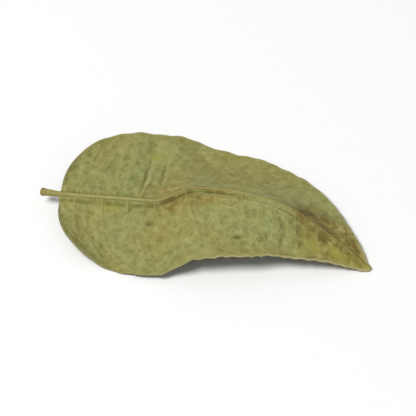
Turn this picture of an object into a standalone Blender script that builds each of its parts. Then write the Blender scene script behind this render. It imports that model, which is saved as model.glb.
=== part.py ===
"""A dried curry leaf: one leaflet, lying with its pale underside up.

+X runs along the leaf from its stalk to its tip, +Y across it and +Z up. The leaf lies
on three low spots of its blade, and the origin is on the surface, under its middle.
"""
import math

import bmesh
import bpy
import numpy as np
from mathutils import Vector, noise

MM = 0.001

# Driving dimensions of the leaf as it would lie pressed flat
BLADE_LENGTH = 41.0 * MM
NEAR_HALF_WIDTH = 10.4 * MM
FAR_HALF_WIDTH = 11.4 * MM
BLADE_THICKNESS = 0.6 * MM

# Outline: rounding of the base and taper to the tip on each side, and the teeth of the
# margin, whose pitch and depth vary along it
NEAR_BASE_POWER = 0.36
FAR_BASE_POWER = 0.43
NEAR_TIP_POWER = 1.15
FAR_TIP_POWER = 1.5
TIP_HALF_WIDTH = 0.3 * MM
TOOTH_PITCH = 1.9 * MM
TOOTH_DEPTH = (0.07 * MM, 0.18 * MM)
TOOTH_VARIETY = 3.5 * MM
TOOTH_WANDER = 3.0
TOOTH_LAYER = 6.6

# Veins, which stand out on the upturned underside
VEIN_PAIRS = 12
VEIN_LEAN = 5.2 * MM
VEIN_HEIGHT = 0.14 * MM
MIDRIB_HALF_WIDTH = 0.45 * MM
MIDRIB_HEIGHT = 0.42 * MM

# Unevenness of the blade: broad waves, small wrinkles and hollows between its veins.
# It starts at the midrib and is full from STIFF_WIDTH outwards.
WAVE_HEIGHT = 0.5 * MM
WAVE_LENGTH = 9.0 * MM
WRINKLE_HEIGHT = 0.14 * MM
WRINKLE_LENGTH = 3.2 * MM
HOLLOW_DEPTH = 0.1 * MM
STIFF_WIDTH = 4.0 * MM
WAVE_LAYER, WRINKLE_LAYER, CREASE_LAYER = 3.7, 5.2, 8.1

# How the leaf has dried, as (fraction of the blade's length, angle in degrees).
# PITCH is the climb of the midrib and HEADING its turn toward +Y.
# A DROOP is how far one half of the blade hangs below its midrib.
PITCH = ((0.0, 0), (0.3, 1), (0.45, 4), (0.58, -2), (0.72, -16), (1.0, -20))
HEADING = ((0.0, 13), (0.4, 11), (0.6, 2), (0.8, -15), (1.0, -23))
NEAR_DROOP = ((0.0, 6), (0.2, 18), (0.34, 16), (0.5, 15), (0.75, 9), (0.9, 0), (1.0, 0))
FAR_DROOP = ((0.0, 4), (0.2, 9.5), (0.275, 12), (0.45, 34), (0.58, 30.5), (0.7, 28), (0.85, 24),
             (1.0, 5))
MARGIN_CURL = 9

# The crease across the leaf, where it was bent as it dried: from and to these fractions.
# It lifts the blade by CREASE_RISE, moves it by CREASE_SHIFT toward +Y, wanders by
# CREASE_WANDER on its way across and comes CREASE_LAG later at the near margin.
CREASE = (0.28, 0.405)
CREASE_RISE = 1.85 * MM
CREASE_SHIFT = 1.0 * MM
CREASE_WANDER = 0.025
CREASE_LAG = 0.03

# The underlying face at the base of the midrib: its height, and its place from the origin
REST_HEIGHT = 1.8 * MM
BASE = (-18.54 * MM, -3.475 * MM)

# The short stalk: how far it starts inside the midrib, and how far it sags and turns
STALK_LENGTH = 2.4 * MM
STALK_RADIUS = 0.45 * MM
STALK_ROOT = 1.4 * MM
STALK_BEND = (0.0, 0.35 * MM, -0.3 * MM)
STALK_POINTS = 7

# Mesh: rows between one lateral vein and the next, and columns on each half. The first
# row is drawn in from the very base, where the blade has no width.
ROWS_PER_VEIN = 8
HALF_COLUMNS = 12
RIB_COLUMNS = 2
FIRST_ROW = 0.003


def clear_scene():
    for item in list(bpy.data.objects):
        bpy.data.objects.remove(item, do_unlink=True)


def new_collection(name):
    collection = bpy.data.collections.new(name)
    bpy.context.scene.collection.children.link(collection)
    return collection


def dried_leaf_material():
    """Matte olive tan of a dried curry leaf's underside."""
    material = bpy.data.materials.new("dried_leaf_underside")
    material.use_nodes = True
    shader = material.node_tree.nodes["Principled BSDF"]
    shader.inputs["Base Color"].default_value = (0.258, 0.254, 0.087, 1.0)
    shader.inputs["Roughness"].default_value = 0.85
    shader.inputs["Metallic"].default_value = 0.0
    return material


def eased(keys, along):
    """Read (fraction, value) keys, eased from each key to the next."""
    places = np.array([key[0] for key in keys])
    values = np.array([key[1] for key in keys], float)
    after = np.clip(np.searchsorted(places, along, side="right"), 1, len(keys) - 1)
    before = after - 1
    part = np.clip((along - places[before]) / (places[after] - places[before]), 0, 1)
    part = part * part * (3 - 2 * part)
    return values[before] + (values[after] - values[before]) * part


def lumps(x, y, size, layer):
    """Smooth noise from -1 to 1 with lumps of about the given size."""
    points = zip(np.ravel(x) / size, np.ravel(y) / size)
    values = [noise.noise(Vector((right, back, layer))) for right, back in points]
    return np.reshape(values, np.shape(x))


def half_width(along, side):
    """Flat distance from the midrib to the margin; side is -1 near and +1 far."""
    base_power = np.where(side < 0, NEAR_BASE_POWER, FAR_BASE_POWER)
    tip_power = np.where(side < 0, NEAR_TIP_POWER, FAR_TIP_POWER)
    widest = np.where(side < 0, NEAR_HALF_WIDTH, FAR_HALF_WIDTH)
    crest = base_power / (base_power + tip_power)
    shape = (along / crest) ** base_power * ((1 - along) / (1 - crest)) ** tip_power
    x = along * BLADE_LENGTH
    chance = lumps(x, side * BLADE_LENGTH / 2, TOOTH_VARIETY, TOOTH_LAYER)
    shallow, deep = TOOTH_DEPTH
    depth = (shallow + (deep - shallow) * np.abs(chance)) * np.sqrt(shape)
    teeth = depth * np.sin(2 * math.pi * x / TOOTH_PITCH + TOOTH_WANDER * chance)
    return TIP_HALF_WIDTH + widest * shape + teeth


def rib_half_width(along):
    return MIDRIB_HALF_WIDTH * (1 - 0.62 * along)


def vein_turns(along, side):
    """Whole numbers on the lateral veins, which alternate on the two halves."""
    return along * VEIN_PAIRS + np.where(side < 0, 0.5, 0.0)


def midrib(x):
    """Points of the bent midrib at flat distances x, and its sideways direction there."""
    step = 0.1 * MM
    knots = np.arange(-2 * MM, BLADE_LENGTH + 4 * MM, step)
    fraction = np.clip(knots / BLADE_LENGTH, 0, 1)
    pitch = np.radians(eased(PITCH, fraction))
    heading = np.radians(eased(HEADING, fraction))
    run = np.cos(pitch) * step
    moves = (run * np.cos(heading), run * np.sin(heading), np.sin(pitch) * step)
    start = (*BASE, REST_HEIGHT)
    centre = []
    for move, offset in zip(moves, start):
        path = np.cumsum(move)
        centre.append(np.interp(x, knots, path - np.interp(0, knots, path)) + offset)
    turn = np.interp(x, knots, heading)
    sideways = np.stack([-np.sin(turn), np.cos(turn), np.zeros_like(x)], -1)
    return np.stack(centre, -1), sideways


def lower_face(along, across):
    """The underlying face of the blade, from the leaf's own coordinates.

    along runs from 0 at the base to 1 at the tip, and across from -1 at the near
    margin to +1 at the far one, both following the lateral veins.
    """
    side = np.sign(across)
    out = np.abs(across)
    y = out * half_width(along, side)
    lean = VEIN_LEAN * np.sin(math.pi * along) ** 0.8
    x = along * BLADE_LENGTH + lean * (out + out ** 2) / 2
    place = np.clip(x / BLADE_LENGTH, 0, 1)
    droop = np.where(side < 0, eased(NEAR_DROOP, place), eased(FAR_DROOP, place))
    droop = np.radians(droop - MARGIN_CURL * out ** 3)
    point, sideways = midrib(x)
    point += (side * y * np.cos(droop))[..., None] * sideways
    height = -y * np.sin(droop)
    # The crease lifts and shifts all that lies beyond it
    wander = CREASE_WANDER * lumps(x, y * side, WAVE_LENGTH, CREASE_LAYER)
    lag = np.where(side < 0, CREASE_LAG * out, 0)
    bent = eased(((CREASE[0], 0), (CREASE[1], 1)), x / BLADE_LENGTH + wander - lag)
    point[..., 1] += CREASE_SHIFT * bent
    height += CREASE_RISE * bent
    # The blade is uneven away from its stiff midrib
    uneven = WAVE_HEIGHT * lumps(x, y * side, WAVE_LENGTH, WAVE_LAYER)
    uneven += WRINKLE_HEIGHT * lumps(x, y * side, WRINKLE_LENGTH, WRINKLE_LAYER)
    height += uneven * np.clip(y / STIFF_WIDTH, 0, 1)
    between = np.sin(math.pi * vein_turns(along, side)) ** 2
    height -= HOLLOW_DEPTH * between * np.sin(math.pi * out ** 0.8)
    # What would sink into the surface lies flat on it
    point[..., 2] = np.maximum(point[..., 2] + height, 0.0)
    return point


def face_normal(along, across):
    """Direction out of the upturned face of the blade."""
    nudge = 0.004
    ahead = lower_face(np.minimum(along + nudge, 1.0), across)
    behind = lower_face(np.maximum(along - nudge, 0.0), across)
    farther = lower_face(along, np.minimum(across + nudge, 1.0))
    nearer = lower_face(along, np.maximum(across - nudge, -1.0))
    normal = np.cross(ahead - behind, farther - nearer)
    return normal / np.linalg.norm(normal, axis=-1, keepdims=True)


def relief(along, across):
    """Height of the midrib and the lateral veins above the upturned face."""
    side = np.sign(across)
    out = np.abs(across)
    y = out * half_width(along, side)
    rib = np.clip(1 - (y / rib_half_width(along)) ** 2, 0, 1)
    rib *= MIDRIB_HEIGHT * (1 - 0.75 * along)
    turns = vein_turns(along, side)
    vein = np.clip(1 - np.abs(turns - np.round(turns)) * ROWS_PER_VEIN, 0, 1)
    vein *= VEIN_HEIGHT * (1 - 0.8 * out) * (1 - 0.5 * along)
    return np.maximum(rib, vein)


def build_blade(material, collection):
    """A slab in the leaf's own coordinates, cut into triangles alike on both faces and
    then bent to shape, with the midrib and the veins raised on the upturned face."""
    rows = VEIN_PAIRS * ROWS_PER_VEIN
    blade = bmesh.new()
    bmesh.ops.create_grid(blade, x_segments=rows, y_segments=2 * HALF_COLUMNS, size=0.5)
    bmesh.ops.triangulate(blade, faces=blade.faces[:])
    bmesh.ops.solidify(blade, geom=blade.faces[:], thickness=0.1)
    slab = np.array([vertex.co[:] for vertex in blade.verts])
    along = FIRST_ROW + (slab[:, 0] + 0.5) * (1 - FIRST_ROW)
    column = np.round(slab[:, 1] * 2 * HALF_COLUMNS)
    upper = slab[:, 2] > slab[:, 2].mean()
    # The first columns keep to the midrib and the others share the rest of each half
    side = np.sign(column)
    count = np.abs(column)
    width = half_width(along, side)
    rib = rib_half_width(along)
    beyond = rib + (width - rib) * (count - RIB_COLUMNS) / (HALF_COLUMNS - RIB_COLUMNS)
    y = np.where(count <= RIB_COLUMNS, rib * count / RIB_COLUMNS, beyond)
    across = side * y / width
    lift = (BLADE_THICKNESS + relief(along, across)) * upper
    shaped = lower_face(along, across) + face_normal(along, across) * lift[:, None]
    for vertex, place in zip(blade.verts, shaped):
        vertex.co = place
    bmesh.ops.recalc_face_normals(blade, faces=blade.faces[:])
    mesh = bpy.data.meshes.new("curry_leaf")
    blade.to_mesh(mesh)
    blade.free()
    mesh.shade_smooth()
    mesh.set_sharp_from_angle(angle=math.radians(50))
    mesh.materials.append(material)
    leaf = bpy.data.objects.new("curry_leaf", mesh)
    collection.objects.link(leaf)
    return leaf


def stalk_curve():
    """A round tube along the stalk, from inside the midrib back to the broken end."""
    base, beyond = (Vector(point) for point in lower_face(np.array([0.0, 0.05]), np.zeros(2)))
    back = (base - beyond).normalized()
    middle = Vector((0, 0, (BLADE_THICKNESS + MIDRIB_HEIGHT) / 2))
    curve = bpy.data.curves.new("stalk", "CURVE")
    curve.dimensions = "3D"
    curve.bevel_depth = STALK_RADIUS
    curve.bevel_resolution = 3
    curve.use_fill_caps = True
    spline = curve.splines.new("POLY")
    spline.points.add(STALK_POINTS - 1)
    for index, point in enumerate(spline.points):
        part = index / (STALK_POINTS - 1)
        distance = part * (STALK_ROOT + STALK_LENGTH) - STALK_ROOT
        place = base + middle + back * distance + Vector(STALK_BEND) * part ** 2
        point.co = (*place, 1.0)
        point.radius = 0.85 + 0.1 * part + 0.25 * part ** 4
    return curve


def build_stalk(material, collection):
    """The stalk as a closed mesh, ready to be joined to the blade."""
    tube = bpy.data.objects.new("stalk_curve", stalk_curve())
    collection.objects.link(tube)
    evaluated = tube.evaluated_get(bpy.context.evaluated_depsgraph_get())
    mesh = bpy.data.meshes.new_from_object(evaluated)
    welded = bmesh.new()
    welded.from_mesh(mesh)
    bmesh.ops.remove_doubles(welded, verts=welded.verts[:], dist=0.001 * MM)
    bmesh.ops.recalc_face_normals(welded, faces=welded.faces[:])
    welded.to_mesh(mesh)
    welded.free()
    mesh.materials.append(material)
    stalk = bpy.data.objects.new("stalk", mesh)
    stalk.matrix_world = tube.matrix_world
    stalk.hide_render = True
    stalk.display_type = "WIRE"
    collection.objects.link(stalk)
    bpy.data.objects.remove(tube, do_unlink=True)
    return stalk


def main():
    clear_scene()
    leaf_collection = new_collection("curry_leaf")
    joined_collection = new_collection("joined_to_the_leaf")
    joined_collection.hide_render = True
    material = dried_leaf_material()
    leaf = build_blade(material, leaf_collection)
    join = leaf.modifiers.new("stalk", "BOOLEAN")
    join.operation = "UNION"
    join.solver = "EXACT"
    join.object = build_stalk(material, joined_collection)


main()
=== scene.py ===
# %% [markdown]
# # A dried curry leaf, lying underside up
# This is one leaflet that dried with a crease across it, an arched midrib and one half
# that hangs lower than the other. It could be sculpted by hand, but a leaf follows rules:
# an outline, veins at even steps and a few bends. So each rule is a short function here,
# and the same functions place the blade, its veins, its glands and its hairs.

# %% The fixed frame
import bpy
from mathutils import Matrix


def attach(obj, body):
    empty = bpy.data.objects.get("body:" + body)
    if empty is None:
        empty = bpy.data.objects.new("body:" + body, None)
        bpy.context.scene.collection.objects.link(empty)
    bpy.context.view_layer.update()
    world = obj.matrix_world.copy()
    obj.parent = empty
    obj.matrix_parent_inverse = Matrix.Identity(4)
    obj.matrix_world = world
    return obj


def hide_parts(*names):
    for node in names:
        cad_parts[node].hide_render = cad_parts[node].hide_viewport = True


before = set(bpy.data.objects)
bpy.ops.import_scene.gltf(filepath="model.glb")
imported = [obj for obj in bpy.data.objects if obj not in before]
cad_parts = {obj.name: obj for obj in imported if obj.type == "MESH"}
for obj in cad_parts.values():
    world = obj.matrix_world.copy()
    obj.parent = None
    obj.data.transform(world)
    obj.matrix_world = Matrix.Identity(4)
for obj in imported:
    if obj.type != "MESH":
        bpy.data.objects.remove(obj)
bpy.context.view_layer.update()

# %% [markdown]
# ## Tools and units
# Everything is in metres, so a millimetre is a named factor. Colours are picked as sRGB
# hex values, as a colour picker shows them, and one function turns them into the linear
# values that shaders use. One more function adds a node, sets it and links it.

# %% Imports, units and two helpers
import math

import bmesh
import bpy
import numpy as np
from mathutils import Vector, noise

MM = 0.001
scene = bpy.context.scene


def linear(hex_colour):
    """An sRGB hex colour such as #8b8a53 as linear RGBA."""
    channels = [int(hex_colour[i:i + 2], 16) / 255 for i in (1, 3, 5)]
    return tuple(c / 12.92 if c <= 0.04045 else ((c + 0.055) / 1.055) ** 2.4
                 for c in channels) + (1.0,)


def add_node(tree, kind, inputs=None, output=None, **settings):
    """Add a node and return one of its outputs: the named one, or the first in use.

    settings are the node's properties. inputs holds a value or an incoming socket for
    each input, by name or by number, or a list of sockets where an input takes several.
    """
    node = tree.nodes.new(kind)
    for name, value in settings.items():
        setattr(node, name, value)
    in_use = {socket.name: socket for socket in reversed(node.inputs) if socket.enabled}
    for name, value in (inputs or {}).items():
        target = node.inputs[name] if isinstance(name, int) else in_use[name]
        for source in value if isinstance(value, list) else [value]:
            if isinstance(source, bpy.types.NodeSocket):
                tree.links.new(source, target)
            else:
                target.default_value = source
    outputs = [socket for socket in node.outputs if socket.enabled]
    return next((socket for socket in outputs if output in (None, socket.name)), None)


# %% [markdown]
# ## The plan of the leaf
# Pressed flat, the leaflet is an egg shape with a blunt base and a drawn-out tip. A point
# on it has two coordinates of its own: along, from 0 at the base to 1 at the tip, and
# across, from -1 at the near margin to +1 at the far one. Lines of equal along follow the
# lateral veins, which lean toward the tip, so veins need no tracing later.

# %% Outline and leaf coordinates
BLADE_LENGTH = 41.0 * MM
NEAR_HALF_WIDTH = 10.4 * MM
FAR_HALF_WIDTH = 11.4 * MM
NEAR_BASE_POWER = 0.36
FAR_BASE_POWER = 0.43
NEAR_TIP_POWER = 1.15
FAR_TIP_POWER = 1.5
TIP_HALF_WIDTH = 0.3 * MM
TIP_ROUNDING = 0.02
TOOTH_PITCH = 1.9 * MM
TOOTH_DEPTH = (0.03 * MM, 0.2 * MM)
TOOTH_VARIETY = 3.5 * MM
TOOTH_WANDER = 3.0
TOOTH_LAYER = 6.6
VEIN_STEPS = 12
VEIN_LEAN = 5.2 * MM
LEAN_POWER = 0.8


def lumps(x, y, size, layer):
    """Smooth noise from -1 to 1 with lumps of about the given size."""
    points = zip(np.ravel(x) / size, np.ravel(y) / size)
    values = [noise.noise(Vector((right, back, layer))) for right, back in points]
    return np.reshape(values, np.shape(x))


def half_width(along, side):
    """Flat distance from the midrib to the margin; side is -1 near and +1 far."""
    base_power = np.where(side < 0, NEAR_BASE_POWER, FAR_BASE_POWER)
    tip_power = np.where(side < 0, NEAR_TIP_POWER, FAR_TIP_POWER)
    widest = np.where(side < 0, NEAR_HALF_WIDTH, FAR_HALF_WIDTH)
    crest = base_power / (base_power + tip_power)
    shape = (along / crest) ** base_power * ((1 - along) / (1 - crest)) ** tip_power
    x = along * BLADE_LENGTH
    chance = lumps(x, side * BLADE_LENGTH / 2 + 0 * x, TOOTH_VARIETY, TOOTH_LAYER)
    shallow, deep = TOOTH_DEPTH
    depth = (shallow + (deep - shallow) * np.abs(chance)) * np.sqrt(shape)
    teeth = depth * np.sin(2 * math.pi * x / TOOTH_PITCH + TOOTH_WANDER * chance)
    last = np.clip((along - 1 + TIP_ROUNDING) / TIP_ROUNDING, 0, 0.99)
    return TIP_HALF_WIDTH * np.sqrt(1 - last ** 2) + widest * shape + teeth


def plan(along, across):
    """Flat place of a point: x along the midrib, y away from it, its side and how far out."""
    side = np.sign(across)
    out = np.abs(across)
    lean = VEIN_LEAN * np.sin(math.pi * along) ** LEAN_POWER
    x = along * BLADE_LENGTH + lean * (out + out ** 2) / 2
    return x, out * half_width(along, side), side, out


def vein_turns(along, side):
    """Whole numbers on the lateral veins, which alternate on the two halves."""
    return along * VEIN_STEPS + np.where(side < 0, 0.5, 0.0)


widths = [float(half_width(0.25, side)) / MM for side in (-1, 1)]
print("blade", BLADE_LENGTH / MM, "mm long, halves", [round(w, 1) for w in widths], "mm wide")

# %% [markdown]
# ## How it dried
# A drying leaf bends but hardly stretches. The midrib is a path with a pitch and a
# heading that change along it, each half droops from it at its own angle, and a crease
# lifts all that lies beyond it. Smooth noise adds the unevenness that no two leaves
# share. Where the blade would sink into the surface, it lies flat, on three low spots.

# %% The bent surface
PITCH = ((0.0, 0), (0.3, 1), (0.45, 4), (0.58, -2), (0.72, -16), (1.0, -20))
HEADING = ((0.0, 13), (0.4, 11), (0.6, 2), (0.8, -15), (1.0, -23))
NEAR_DROOP = ((0.0, 6), (0.2, 18), (0.34, 16), (0.5, 15), (0.75, 9), (0.9, 0), (1.0, 0))
FAR_DROOP = ((0.0, 4), (0.2, 9.5), (0.275, 12), (0.45, 34), (0.58, 30.5), (0.7, 28), (0.85, 24),
             (1.0, 5))
MARGIN_CURL = 9
PATH_STEP = 0.1 * MM
PATH_SPARE = (2 * MM, 4 * MM)
CREASE = (0.28, 0.405)
CREASE_RISE = 1.85 * MM
CREASE_SHIFT = 1.0 * MM
CREASE_WANDER = 0.025
CREASE_LAG = 0.03
REST_HEIGHT = 1.8 * MM
BASE = (-18.54 * MM, -3.475 * MM)
WAVE_HEIGHT = 0.5 * MM
WAVE_LENGTH = 9.0 * MM
WRINKLE_HEIGHT = 0.14 * MM
WRINKLE_LENGTH = 3.2 * MM
HOLLOW_DEPTH = 0.1 * MM
STIFF_WIDTH = 4.0 * MM
NORMAL_NUDGE = 0.004
WAVE_LAYER, WRINKLE_LAYER, CREASE_LAYER = 3.7, 5.2, 8.1


def eased(keys, along):
    """Read (fraction, value) keys, eased from each key to the next."""
    places = np.array([key[0] for key in keys])
    values = np.array([key[1] for key in keys], float)
    after = np.clip(np.searchsorted(places, along, side="right"), 1, len(keys) - 1)
    before = after - 1
    part = np.clip((along - places[before]) / (places[after] - places[before]), 0, 1)
    part = part * part * (3 - 2 * part)
    return values[before] + (values[after] - values[before]) * part


def midrib(x):
    """Points of the bent midrib at flat distances x, and its sideways direction there."""
    before, after = PATH_SPARE
    knots = np.arange(-before, BLADE_LENGTH + after, PATH_STEP)
    fraction = np.clip(knots / BLADE_LENGTH, 0, 1)
    pitch = np.radians(eased(PITCH, fraction))
    heading = np.radians(eased(HEADING, fraction))
    run = np.cos(pitch) * PATH_STEP
    moves = (run * np.cos(heading), run * np.sin(heading), np.sin(pitch) * PATH_STEP)
    start = (*BASE, REST_HEIGHT)
    centre = []
    for move, offset in zip(moves, start):
        path = np.cumsum(move)
        centre.append(np.interp(x, knots, path - np.interp(0, knots, path)) + offset)
    turn = np.interp(x, knots, heading)
    sideways = np.stack([-np.sin(turn), np.cos(turn), np.zeros_like(x)], -1)
    return np.stack(centre, -1), sideways


def lower_face(along, across):
    """The underlying face of the blade, bent as it dried."""
    x, y, side, out = plan(along, across)
    place = np.clip(x / BLADE_LENGTH, 0, 1)
    droop = np.where(side < 0, eased(NEAR_DROOP, place), eased(FAR_DROOP, place))
    droop = np.radians(droop - MARGIN_CURL * out ** 3)
    point, sideways = midrib(x)
    point += (side * y * np.cos(droop))[..., None] * sideways
    height = -y * np.sin(droop)
    wander = CREASE_WANDER * lumps(x, y * side, WAVE_LENGTH, CREASE_LAYER)
    lag = np.where(side < 0, CREASE_LAG * out, 0)
    bent = eased(((CREASE[0], 0), (CREASE[1], 1)), x / BLADE_LENGTH + wander - lag)
    point[..., 1] += CREASE_SHIFT * bent
    height += CREASE_RISE * bent
    uneven = WAVE_HEIGHT * lumps(x, y * side, WAVE_LENGTH, WAVE_LAYER)
    uneven += WRINKLE_HEIGHT * lumps(x, y * side, WRINKLE_LENGTH, WRINKLE_LAYER)
    height += uneven * np.clip(y / STIFF_WIDTH, 0, 1)
    between = np.sin(math.pi * vein_turns(along, side)) ** 2
    height -= HOLLOW_DEPTH * between * np.sin(math.pi * out ** 0.8)
    point[..., 2] = np.maximum(point[..., 2] + height, 0.0)
    return point


def face_normal(along, across):
    """Direction out of the upturned face of the blade."""
    ahead = lower_face(np.minimum(along + NORMAL_NUDGE, 1.0), across)
    behind = lower_face(np.maximum(along - NORMAL_NUDGE, 0.0), across)
    farther = lower_face(along, np.minimum(across + NORMAL_NUDGE, 1.0))
    nearer = lower_face(along, np.maximum(across - NORMAL_NUDGE, -1.0))
    normal = np.cross(ahead - behind, farther - nearer)
    return normal / np.linalg.norm(normal, axis=-1, keepdims=True)


spine = lower_face(np.linspace(0, 1, 50), np.zeros(50))
print("the midrib climbs to", round(float(spine[:, 2].max()) / MM, 2), "mm")

# %% [markdown]
# ## Relief of the underside
# On a curry leaf's underside the midrib and the lateral veins stand out, a fine net of
# veinlets links them, and the patches between the veinlets shrink back as they dry. This
# could be a bump texture alone, but in light from one side real height looks better. The
# net is the border between the cells of a Voronoi pattern on the flat leaf, so that its
# cells stay as wide as they are long wherever the leaf bends. Real cells are about half a
# millimetre wide. These are about twice that, or the picture would hardly show them.

# %% Sizes of ribs, veinlets and wrinkles
BLADE_THICKNESS = 0.28 * MM
THINNEST = 0.06 * MM
THINNEST_EASING = 0.4
MIDRIB_HALF_WIDTH = 0.34 * MM
MIDRIB_NARROWS = 0.62
MIDRIB_HEIGHT = 0.31 * MM
MIDRIB_FOOT = 0.16 * MM
MIDRIB_FOOT_HEIGHT = 0.1 * MM
VEIN_SPACING = 3.1 * MM
VEIN_ARCH = 0.8
VEIN_WANDER = 0.16
VEIN_WANDER_LENGTH = 7 * MM
VEIN_LAYER = 9.3
VEIN_SHOULDER = 0.17 * MM
VEIN_SHOULDER_HEIGHT = 0.07 * MM
SHOULDER_LOWERS_OUT = 0.8
SHOULDER_LOWERS_ALONG = 0.4
NET_CELL = 1.15 * MM
NET_HEIGHT = 0.05 * MM
NET_HALF_WIDTH = 0.11 * MM
CELL_SINK = 0.075 * MM
MEAN_SINK = 0.07 * MM
SMOOTH_BY_RIB = 1.2 * MM
print("veinlets stand", NET_HEIGHT / MM, "mm above a blade of", BLADE_THICKNESS / MM, "mm")

# %% [markdown]
# The blade also shrank unevenly: it is crinkled all over and puckered in slanting rows,
# and a furrow runs along each side of the midrib, with its own gap and breadth on the
# near and the far half. A fade says how much of a thing is left at each along.

# %% Sizes of crinkles, puckers and furrows
CRINKLES = ((0.085 * MM, 1.4 * MM, 2.2), (0.035 * MM, 0.6 * MM, 6.4))
PUCKER_SLANT = 0.5
PUCKER_STRETCH = 1.8
PUCKER_LENGTH = 2.1 * MM
PUCKER_DEPTH = 0.14 * MM
PUCKER_LAYER = 5.3
PUCKER_FADE = ((0.55, 1.0), (0.85, 0.35))
RIB_GROOVE = 0.08 * MM
GROOVE_GAP = (0.36 * MM, 0.2 * MM)
GROOVE_BREADTH = (0.28 * MM, 0.2 * MM)
GROOVE_FADE = ((0.3, 1.0), (0.5, 0.3))
FAR_HALF_FADE = ((0.3, 1.0), (0.4, 0.5))


def layered_lumps(x, y, layers):
    """The sum of (strength, size, layer) rows of smooth noise."""
    return sum(strength * lumps(x, y, size, layer) for strength, size, layer in layers)


def rib_half_width(along):
    """Half the width of the midrib, which narrows toward the tip."""
    return MIDRIB_HALF_WIDTH * (1 - MIDRIB_NARROWS * along)


def beside_rib(along, across):
    """1 in the furrows along both sides of the midrib, 0 away from them."""
    _, y, side, _ = plan(along, across)
    gap = np.where(side < 0, *GROOVE_GAP)
    breadth = np.where(side < 0, *GROOVE_BREADTH)
    return np.exp(-((y - rib_half_width(along) - gap) / breadth) ** 2)


print("crinkles of", [round(size / MM, 1) for _, size, _ in CRINKLES], "mm")

# %% [markdown]
# Sharp creases formed where the leaf was bent as it dried. They could be sculpted, but a
# short line drawn in leaf coordinates stays with the leaf whatever its bends. Each row
# holds the along and across where a crease starts, those where it ends, its height and
# its half breadth, both in millimetres. A height less than nothing makes a furrow.

# %% Creases
CREASES = (
    (0.232, 0.13, 0.208, 0.65, -0.25, 0.16), (0.243, 0.15, 0.224, 0.58, 0.16, 0.22),
    (0.27, 0.32, 0.248, 0.68, -0.19, 0.15), (0.286, 0.15, 0.277, 0.53, 0.13, 0.2),
    (0.198, -0.18, 0.221, -0.075, -0.22, 0.17), (0.219, -0.085, 0.266, -0.045, -0.18, 0.14),
    (0.288, -0.042, 0.392, -0.04, -0.3, 0.13), (0.385, -0.038, 0.56, -0.035, -0.27, 0.11),
    (0.4, -0.075, 0.5, -0.07, 0.12, 0.12), (0.29, 0.05, 0.34, 0.06, -0.1, 0.12),
    (0.35, -0.12, 0.43, -0.17, 0.12, 0.18), (0.36, -0.17, 0.4, -0.21, -0.12, 0.13),
    (0.81, 0.05, 0.875, 0.12, -0.18, 0.14), (0.865, 0.11, 0.925, -0.03, -0.16, 0.13),
    (0.7, 0.75, 0.755, 0.25, 0.15, 0.25), (0.828, -0.23, 0.852, -0.33, 0.15, 0.22),
    (0.24, 0.24, 0.236, 0.34, 0.1, 0.3),
    (0.465, -0.13, 0.52, -0.12, 0.14, 0.14), (0.465, -0.21, 0.54, -0.26, 0.13, 0.16),
    (0.55, -0.11, 0.625, -0.1, 0.2, 0.15), (0.612, -0.11, 0.725, -0.175, 0.18, 0.14),
    (0.62, -0.09, 0.735, -0.13, -0.12, 0.11), (0.66, -0.05, 0.735, -0.075, 0.09, 0.12),
    (0.3, -0.69, 0.285, -0.8, -0.1, 0.2), (0.216, -0.42, 0.214, -0.58, -0.1, 0.16),
    (0.51, -0.25, 0.53, -0.52, -0.07, 0.14), (0.43, 0.3, 0.41, 0.62, -0.08, 0.16),
    (0.56, 0.2, 0.55, 0.55, 0.08, 0.2), (0.14, 0.25, 0.13, 0.6, -0.07, 0.14),
    (0.66, -0.35, 0.68, -0.62, -0.07, 0.13), (0.75, 0.15, 0.76, 0.6, -0.08, 0.14),
    (0.1, -0.3, 0.11, -0.65, 0.07, 0.2), (0.83, -0.1, 0.9, -0.2, -0.06, 0.1),
)
LINE_WANDER = 0.22 * MM
LINE_WANDER_LENGTH = 1.6 * MM
LINE_END = 0.12


def flat_place(along, across):
    """Flat x and y of leaf coordinates, with y less than nothing on the near half."""
    x, y, side, _ = plan(np.asarray(along, float), np.asarray(across, float))
    return x, y * side


def crease_depth(along, across):
    """Height that the creases add, more than nothing on ridges."""
    x, y = flat_place(along, across)
    height = np.zeros(np.shape(x))
    for start_along, start_across, end_along, end_across, rise, breadth in CREASES:
        start_x, start_y = flat_place(start_along, start_across)
        run_x, run_y = np.subtract(flat_place(end_along, end_across), (start_x, start_y))
        length = np.hypot(run_x, run_y)
        part = ((x - start_x) * run_x + (y - start_y) * run_y) / length ** 2
        beyond = np.maximum(np.abs(part - 0.5) - 0.5, 0) * length
        aside = ((x - start_x) * run_y - (y - start_y) * run_x) / length
        bow = lumps(part * length, aside + start_y, LINE_WANDER_LENGTH, CREASE_LAYER)
        aside = aside + LINE_WANDER * bow
        bend = np.exp(-(aside / (breadth * MM)) ** 2 - (beyond / (2 * breadth * MM)) ** 2)
        height += rise * MM * bend * np.sin(math.pi * np.clip(part, LINE_END, 1 - LINE_END))
    return height


print(len(CREASES), "creases")

# %% [markdown]
# The height of any point is the sum of these. Where furrows cross, the sum would cut
# through the blade and leave a hole, so it eases off and the thinnest tissue stays.

# %% Height of the underside
def arched_turns(along, across):
    """Vein turns with the laterals wandering a little and arched forward at the margin."""
    x, y, side, out = plan(along, across)
    wander = VEIN_WANDER * lumps(x, y * side, VEIN_WANDER_LENGTH, VEIN_LAYER)
    arch = VEIN_ARCH * out ** 5 * half_width(along, side) / NEAR_HALF_WIDTH
    return vein_turns(along, side) + wander - arch


def vein_distance(along, across):
    """Distance to the nearest lateral vein."""
    turns = arched_turns(along, across)
    return np.abs(turns - np.round(turns)) * VEIN_SPACING


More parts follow.
